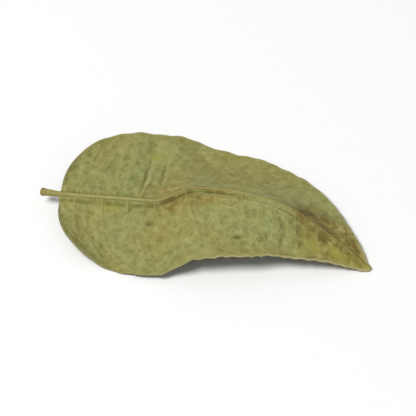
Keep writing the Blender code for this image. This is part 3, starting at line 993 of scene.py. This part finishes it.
tightness = add_node(tree, "ShaderNodeMath", {0: 1.0, 1: given["Wrinkle Size"]},
                     operation="DIVIDE")
wrinkle = add_node(tree, "ShaderNodeTexNoise", {"Scale": tightness, "Detail": 2.0})
wrinkle = add_node(tree, "ShaderNodeMath", {0: wrinkle, 1: 0.5}, operation="SUBTRACT")
wrinkle = add_node(tree, "ShaderNodeMath", {0: wrinkle, 1: given["Wrinkle Depth"]},
                   operation="MULTIPLY")
shrunk = add_node(tree, "ShaderNodeMath", {0: groove, 1: wrinkle}, operation="ADD")
normal = add_node(tree, "GeometryNodeInputNormal", output="Normal")
offset = add_node(tree, "ShaderNodeVectorMath", {"Vector": normal, "Scale": shrunk},
                  operation="SCALE")
tube = add_node(tree, "GeometryNodeSetPosition", {"Geometry": tube, "Offset": offset})
end_tree(tree, tube, given["Finish"])
print("strand tree:", len(tree.nodes), "nodes")

# %% [markdown]
# Paths are meshes of edges only. A path on the upturned face starts from leaf coordinates
# and is sunk a little, so that its tube shows as a low ridge and not as a wire.

# %% Helpers for paths
def on_face(along, across, depth):
    """Points the given depth under the upturned face."""
    height = BLADE_THICKNESS + relief(along, across) - depth
    return lower_face(along, across) + face_normal(along, across) * height[:, None]


def path_mesh(name, paths):
    """One mesh of edges from paths of (points, girth, withered, bruised)."""
    points = np.concatenate([path[0] for path in paths])
    starts = np.cumsum([0] + [len(path[0]) for path in paths])
    edges = [(i, i + 1) for start, end in zip(starts, starts[1:]) for i in range(start, end - 1)]
    mesh = bpy.data.meshes.new(name)
    mesh.from_pydata(points.tolist(), edges, [])
    for column, label in enumerate(("girth", "withered", "bruised"), start=1):
        values = np.concatenate([path[column] for path in paths])
        mesh.attributes.new(label, "FLOAT", "POINT").data.foreach_set("value", values)
    return mesh


print("paths carry girth, withered and bruised")

# %% [markdown]
# ## Stalk and midrib
# A leaflet's stalk is barely 2.5 mm long. It is a round cord that runs on along the blade
# as the midrib, where half of it stands out of the underside. Two pieces would show a seam
# where they meet, so one cord makes both. First comes the midrib, which gets lower and
# slimmer toward the tip and sinks into the blade there.

# %% The midrib's part of the cord
RIB_SPAN = (0.04, 0.985)
RIB_POINTS = 260
RIB_LOWERS = 0.78
RIB_SLIMS = 0.3
RIB_END = 0.99
RIB_END_LENGTH = 0.07
RIB_END_SINK = 0.14 * MM
RIB_DULLED = ((0.27, 0), (0.37, 1), (0.7, 0.8), (1.0, 0.3))
RIB_DULLING = 0.6
RIB_WITHERING = 0.8

rib_along = np.linspace(*RIB_SPAN, RIB_POINTS)
rib_flat = np.zeros_like(rib_along)
rib_thickness = BLADE_THICKNESS + MIDRIB_HEIGHT * (1 - RIB_LOWERS * rib_along)
rib_end = np.clip((RIB_END - rib_along) / RIB_END_LENGTH, 0.05, 1)
rib_girth = rib_thickness / 2 * rib_end * (1 - RIB_SLIMS * rib_along)
rib_height = rib_thickness - rib_girth - RIB_END_SINK * (1 - rib_end)
rib_points = lower_face(rib_along, rib_flat)
rib_points += face_normal(rib_along, rib_flat) * rib_height[:, None]
rib_dulled = RIB_DULLING * eased(RIB_DULLED, rib_along)
rib_withered = np.clip(RIB_WITHERING * withered(rib_along, rib_flat) + rib_dulled, 0, 1)
rib = (rib_points, rib_girth, rib_withered, bruised(rib_along, rib_flat))
print("midrib", round(2 * float(rib_girth.max()) / MM, 2), "mm thick")

# %% [markdown]
# The stalk's path starts at its free end and runs on into the blade, nearly to the first
# point of the midrib. The free end is a little thicker and browner, where it was joined
# to the frond, and it is rounded over.

# %% The stalk's part, and the whole cord
STALK_LENGTH = 2.4 * MM
STALK_ROOT = 1.4 * MM
STALK_RADIUS = 0.45 * MM
STALK_RISE = 0.51 * MM
STALK_BEND = np.array((0.0, 0.35, -0.3)) * MM
STALK_POINTS = 40
STALK_STOP = 0.12
STALK_CROWDING = 1.6
STALK_GIRTH = ((STALK_STOP, 0.76), (0.4, 0.8), (0.75, 0.92), (0.94, 1.12), (0.985, 1.06),
               (1.0, 0.78))
STALK_WITHERED = 0.25
STALK_END_WITHERED = 0.5
STALK_END_BRUISED = 0.8

base, beyond = lower_face(np.array([0.0, 0.05]), np.zeros(2))
back = (base - beyond) / np.linalg.norm(base - beyond)
part = 1 - (1 - STALK_STOP) * np.linspace(0, 1, STALK_POINTS) ** STALK_CROWDING
distance = part * (STALK_ROOT + STALK_LENGTH) - STALK_ROOT
stalk_points = base + back * distance[:, None] + STALK_BEND * part[:, None] ** 2
stalk_points[:, 2] += rib_thickness[0] / 2 + (STALK_RISE - rib_thickness[0] / 2) * part ** 1.5
stalk = (stalk_points, STALK_RADIUS * eased(STALK_GIRTH, part),
         STALK_WITHERED + STALK_END_WITHERED * part ** 3, STALK_END_BRUISED * part ** 12)
cord = [tuple(np.concatenate(pair) for pair in zip(stalk, rib))]
midrib_cord = grow("stalk_and_midrib", path_mesh("midrib_path", cord), strand_tree, strand_sizes)

# %% [markdown]
# ## Lateral veins
# Eleven veins leave the midrib on each side, thin toward the margin and bend forward
# there, where short loops join each to the next. Weaker veins start between them and fade
# out. They could be traced from the photograph, but each one here follows a line where
# arched_turns stays the same. Next to the midrib it rises out of the blade, so that it
# joins the side of the cord.

# %% A path for one vein
VEIN_GIRTH = 0.13 * MM
VEIN_SINK = 0.72
VEIN_SINK_VARIES = 0.16
VEIN_SINK_LENGTH = 1.5 * MM
VEIN_ROOT_RISE = 0.025 * MM
VEIN_ROOT_FADE = ((0.05, 1.0), (0.15, 0.0))
VEIN_SLIMS = 0.35
ROUNDS = 5


def vein_path(turns, side, out, girth):
    """A path on the upturned face at the given turns and distances out."""
    offset = 0.5 if side < 0 else 0.0
    along = np.clip((turns - offset + VEIN_ARCH * out ** 5) / VEIN_STEPS, 0.01, 0.98)
    for _ in range(ROUNDS):
        along += (turns - arched_turns(along, side * out)) / VEIN_STEPS
        along = np.clip(along, 0.01, 0.985)
    across = side * out
    thin = girth * (1 - VEIN_SLIMS * along)
    uneven = lumps(*flat_place(along, across), VEIN_SINK_LENGTH, VEIN_LAYER)
    depth = (VEIN_SINK + VEIN_SINK_VARIES * uneven) * thin
    depth = depth - VEIN_ROOT_RISE * eased(VEIN_ROOT_FADE, out)
    return on_face(along, across, depth), thin, withered(along, across), bruised(along, across)


print("veins are up to", 2 * VEIN_GIRTH / MM, "mm thick")

# %% [markdown]
# Chance sets how far out each vein reaches and where the weaker ones start, from a fixed
# seed, so that the leaf is the same in every run.

# %% Lateral veins, weaker veins and loops
VEIN_SEED = 4
VEIN_START = 0.004
VEIN_REACH = (0.9, 0.96)
VEIN_POINTS = 44
LAST_VEIN_REACH = 0.6
VEIN_THINS = 0.55
WEAK_VEIN_GIRTH = 0.5 * VEIN_GIRTH
WEAK_VEIN_REACH = (0.25, 0.6)
WEAK_VEIN_POINTS = 24
WEAK_VEIN_PLACE = (0.4, 0.6)
WEAK_VEIN_THINS = 0.75
LOOP_GIRTH = 0.42 * VEIN_GIRTH
LOOP_START = 0.78
LOOP_CLIMB = 0.05
LOOP_BOW = 0.07
LOOP_POINTS = 18

random = np.random.default_rng(VEIN_SEED)
veins = []
for side in (-1.0, 1.0):
    for turn in range(1, VEIN_STEPS):
        reach = np.linspace(VEIN_START, random.uniform(*VEIN_REACH), VEIN_POINTS)
        if turn > VEIN_STEPS - 2:
            reach *= LAST_VEIN_REACH
        girth = VEIN_GIRTH * (1 - VEIN_THINS * reach)
        veins.append(vein_path(turn + 0 * reach, side, reach, girth))
        reach = np.linspace(VEIN_START, random.uniform(*WEAK_VEIN_REACH), WEAK_VEIN_POINTS)
        girth = WEAK_VEIN_GIRTH * (1 - WEAK_VEIN_THINS * reach / reach[-1])
        if turn < VEIN_STEPS - 2:
            between = turn + random.uniform(*WEAK_VEIN_PLACE)
            veins.append(vein_path(between + 0 * reach, side, reach, girth))
            walk = np.linspace(0, 1, LOOP_POINTS)
            reach = LOOP_START + LOOP_CLIMB * walk + LOOP_BOW * np.sin(math.pi * walk)
            veins.append(vein_path(turn + walk, side, reach, LOOP_GIRTH + 0 * walk))
vein_sizes = {**strand_sizes, "Sides": 6, "Grooves": 2, "Groove Depth": 0.0,
              "Wrinkle Depth": 0.03 * MM}
lateral_veins = grow("lateral_veins", path_mesh("vein_paths", veins), strand_tree, vein_sizes)

# %% [markdown]
# ## Oil glands
# Curry leaves are dotted with oil glands, the source of their scent. In a dried leaf they
# are small dark blisters between the veinlets. Dark dots in the texture would do from
# afar, but blisters catch the light. Their skin is a little glossier than the leaf.

# %% Oil gland material
GLAND_MOTTLE_SIZE = 0.8 * MM

gland_skin, tree = new_material("dried_oil_gland")
place = add_node(tree, "ShaderNodeTexCoord", output="Object")
mottle = add_node(tree, "ShaderNodeTexNoise",
                  {"Vector": place, "Scale": 1 / GLAND_MOTTLE_SIZE, "Detail": 2.0})
gone = add_node(tree, "ShaderNodeAttribute", output="Fac", attribute_name="withered")
finish(tree, "#7a7c40", ((mottle, "#6c6c38"), (gone, "#6e5c2c")),
       {"Roughness": 0.5, "Specular IOR Level": 0.4})

# %% [markdown]
# A node tree scatters the glands over the upturned face, never closer than their real
# spacing, and keeps them off the veins. The hairs need the same two things, so a helper
# gives both: which faces look up, and how far off the nearest vein is.

# %% Oil glands scattered by a node tree
GLANDS_PER_SQUARE_METRE = 1.3e6
gland_sizes = {"Spacing": 0.62 * MM, "Smallest": 0.04 * MM, "Largest": 0.075 * MM,
               "Flatness": 0.4, "Seed": 11}


def growing_place(tree):
    """Which faces of the blade look up, and the distance to the nearest lateral vein."""
    downward = add_node(tree, "GeometryNodeInputNamedAttribute", {"Name": "down_facing"},
                        data_type="BOOLEAN")
    upturned = add_node(tree, "FunctionNodeBooleanMath", {0: downward}, operation="NOT")
    return upturned, add_node(tree, "GeometryNodeInputNamedAttribute", {"Name": "to_vein"})


tree, given = new_tree("scattered_glands", gland_sizes)
upturned, gap = growing_place(tree)
room = add_node(tree, "ShaderNodeMapRange",
                {"Value": gap, "From Min": 0.2 * MM, "From Max": 0.5 * MM})
points = add_node(tree, "GeometryNodeDistributePointsOnFaces",
                  {"Mesh": given["Geometry"], "Selection": upturned,
                   "Distance Min": given["Spacing"], "Density Max": GLANDS_PER_SQUARE_METRE,
                   "Density Factor": room, "Seed": given["Seed"]},
                  output="Points", distribute_method="POISSON")
dome = add_node(tree, "GeometryNodeMeshUVSphere", {"Segments": 8, "Rings": 5, "Radius": 1.0})
squat = add_node(tree, "ShaderNodeCombineXYZ", {"X": 1.0, "Y": 1.0, "Z": given["Flatness"]})
dome = add_node(tree, "GeometryNodeTransform", {"Geometry": dome, "Scale": squat})
size = add_node(tree, "FunctionNodeRandomValue",
                {"Min": given["Smallest"], "Max": given["Largest"], "Seed": given["Seed"]},
                data_type="FLOAT")
domes = add_node(tree, "GeometryNodeInstanceOnPoints",
                 {"Points": points, "Instance": dome,
                  "Rotation": points.node.outputs["Rotation"], "Scale": size})
end_tree(tree, domes, gland_skin)
oil_glands = grow("oil_glands", blade.data, tree, gland_sizes)

# %% [markdown]
# ## Hairs
# The underside of the leaf bears short soft hairs, most of them on the veins. They are
# dry and pale, and give the face its faint bloom where light grazes it.

# %% Hair material
HAIR_TONE_SIZE = 1.5 * MM

hair_finish, tree = new_material("leaf_hair")
place = add_node(tree, "ShaderNodeTexCoord", output="Object")
shade = add_node(tree, "ShaderNodeTexNoise",
                 {"Vector": place, "Scale": 1 / HAIR_TONE_SIZE, "Detail": 2.0})
finish(tree, "#b3ae84", [(shade, "#8f8a58")], {"Roughness": 0.55, "Specular IOR Level": 0.3})

# %% [markdown]
# A particle system could grow the hairs, but it doesn't export, so a node tree stands slim
# three-sided cones on the face, each leaning its own way, all round the circle.

# %% Hairs stood up by a node tree
ALL_ROUND = 6.28
hair_sizes = {"Per Square Metre": 7.0e6, "Shortest": 0.09 * MM, "Longest": 0.2 * MM,
              "Root Radius": 0.007 * MM, "Lean": 0.9, "Seed": 23}
tree, given = new_tree("short_hairs", hair_sizes)
upturned, gap = growing_place(tree)
closeness = add_node(tree, "ShaderNodeMapRange",
                     {"Value": gap, "From Min": 0.1 * MM, "From Max": 0.4 * MM, "To Min": 1.0,
                      "To Max": 0.22})
density = add_node(tree, "ShaderNodeMath", {0: closeness, 1: given["Per Square Metre"]},
                   operation="MULTIPLY")
points = add_node(tree, "GeometryNodeDistributePointsOnFaces",
                  {"Mesh": given["Geometry"], "Selection": upturned, "Density": density,
                   "Seed": given["Seed"]}, output="Points", distribute_method="RANDOM")
cone = add_node(tree, "GeometryNodeMeshCone",
                {"Vertices": 3, "Radius Top": 0.0, "Radius Bottom": given["Root Radius"],
                 "Depth": 1.0})
least = add_node(tree, "ShaderNodeMath", {0: given["Lean"], 1: -1.0}, operation="MULTIPLY")
lean_low = add_node(tree, "ShaderNodeCombineXYZ", {"X": least, "Y": least, "Z": 0.0})
lean_high = add_node(tree, "ShaderNodeCombineXYZ",
                     {"X": given["Lean"], "Y": given["Lean"], "Z": ALL_ROUND})
leaning = add_node(tree, "FunctionNodeRandomValue",
                   {"Min": lean_low, "Max": lean_high, "Seed": given["Seed"]},
                   data_type="FLOAT_VECTOR")
leaning = add_node(tree, "FunctionNodeEulerToRotation", {"Euler": leaning})
leaning = add_node(tree, "FunctionNodeRotateRotation",
                   {"Rotation": points.node.outputs["Rotation"], "Rotate By": leaning},
                   rotation_space="LOCAL")
length = add_node(tree, "FunctionNodeRandomValue",
                  {"Min": given["Shortest"], "Max": given["Longest"], "Seed": given["Seed"]},
                  data_type="FLOAT")
stretch = add_node(tree, "ShaderNodeCombineXYZ", {"X": 1.0, "Y": 1.0, "Z": length})
hairs = add_node(tree, "GeometryNodeInstanceOnPoints",
                 {"Points": points, "Instance": cone, "Rotation": leaning, "Scale": stretch})
end_tree(tree, hairs, hair_finish, smooth=False)
leaf_hairs = grow("leaf_hairs", blade.data, tree, hair_sizes)

# %% [markdown]
# ## What each piece is to the frame
# The solid of the leaf carries the physics. Its detailed pieces stand for it in the
# picture, so each rides on the root body, and the solid itself is hidden.

# %% Tie the pieces to the frame
for piece in (blade, midrib_cord, lateral_veins, oil_glands, leaf_hairs):
    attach(piece, "root")
    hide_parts("curry_leaf")
print("five pieces ride on the root")

# %% [markdown]
# ## The surface under the leaf
# A sheet of matte white board keeps the eye on the leaf and bounces soft light up under
# its edges. A plain white would look like empty space, so it has a little tooth. The real
# tooth is too fine to see, so it is drawn nearly a millimetre coarse and very faint.

# %% White board
BOARD_WIDTH = 2.4
TOOTH_SIZE = 0.8 * MM

board_finish, tree = new_material("matte_white_board")
place = add_node(tree, "ShaderNodeTexCoord", output="Object")
tooth = add_node(tree, "ShaderNodeTexNoise",
                 {"Vector": place, "Scale": 1 / TOOTH_SIZE, "Detail": 3.0})
bumps = add_node(tree, "ShaderNodeBump",
                 {"Strength": 0.15, "Distance": 0.02 * MM, "Height": tooth})
finish(tree, "#f4f4f2", [(tooth, "#f1f1ef")],
       {"Roughness": 0.85, "Normal": bumps, "Specular IOR Level": 0.25})
board = bpy.data.meshes.new("white_board")
sides = bmesh.new()
bmesh.ops.create_grid(sides, x_segments=4, y_segments=4, size=BOARD_WIDTH / 2)
sides.to_mesh(board)
sides.free()
board.materials.append(board_finish)
floor = bpy.data.objects.new("white_board", board)
scene.collection.objects.link(floor)
print("board", BOARD_WIDTH, "m wide")

# %% [markdown]
# ## Light
# The photograph has the light of a bright cloudy room: one broad soft source above and in
# front, and pale light from all round. A sun lamp would throw hard shadows, so a large
# round area lamp and a pale world give that light. The world also stands in for the
# backdrop: its grey meets the far edge of the board softly.

# %% Lamp and world
MIDDLE = Vector((0.0, 0.0, 2.2 * MM))
LAMP_DIRECTION = Vector((-0.35, -0.42, 1.0))
LAMP_DISTANCE = 0.9
LAMP_WIDTH = 0.4
LAMP_WATTS = 7.2
WORLD_STRENGTH = 0.385

lamp = bpy.data.lights.new("window_light", "AREA")
lamp.shape = "DISK"
lamp.size = LAMP_WIDTH
lamp.energy = LAMP_WATTS
window = bpy.data.objects.new("window_light", lamp)
window.location = MIDDLE + LAMP_DIRECTION.normalized() * LAMP_DISTANCE
window.rotation_euler = (MIDDLE - window.location).to_track_quat("-Z", "Y").to_euler()
scene.collection.objects.link(window)
world = bpy.data.worlds.new("pale_room")
world.use_nodes = True
sky = world.node_tree.nodes["Background"]
sky.inputs["Color"].default_value = linear("#fbfbff")
sky.inputs["Strength"].default_value = WORLD_STRENGTH
scene.world = world
scene.view_settings.view_transform = "Standard"
print("lamp at", [round(v, 2) for v in window.location])

# %% [markdown]
# ## Camera
# The photograph looks down at about 50 degrees from the front, a little from the right,
# with a long lens. The camera stands there and is close enough for the one leaf to fill
# the frame.

# %% Camera at the photograph's viewing angle
AZIMUTH = math.radians(18)
ELEVATION = math.radians(50)
FRAME_WIDTH = 51 * MM
LENS = 200
SENSOR = 36
AIM = MIDDLE + Vector((-0.4, 0.0, 0.0)) * MM

camera_data = bpy.data.cameras.new("camera")
camera_data.lens = LENS
camera_data.sensor_width = SENSOR
camera_data.clip_start = 0.01
away = Vector((math.sin(AZIMUTH) * math.cos(ELEVATION),
               -math.cos(AZIMUTH) * math.cos(ELEVATION), math.sin(ELEVATION)))
camera = bpy.data.objects.new("camera", camera_data)
camera.location = AIM + away * FRAME_WIDTH * LENS / SENSOR
camera.rotation_euler = (-away).to_track_quat("-Z", "Y").to_euler()
scene.collection.objects.link(camera)
scene.camera = camera
print("camera is", round((camera.location - AIM).length, 3), "m away")
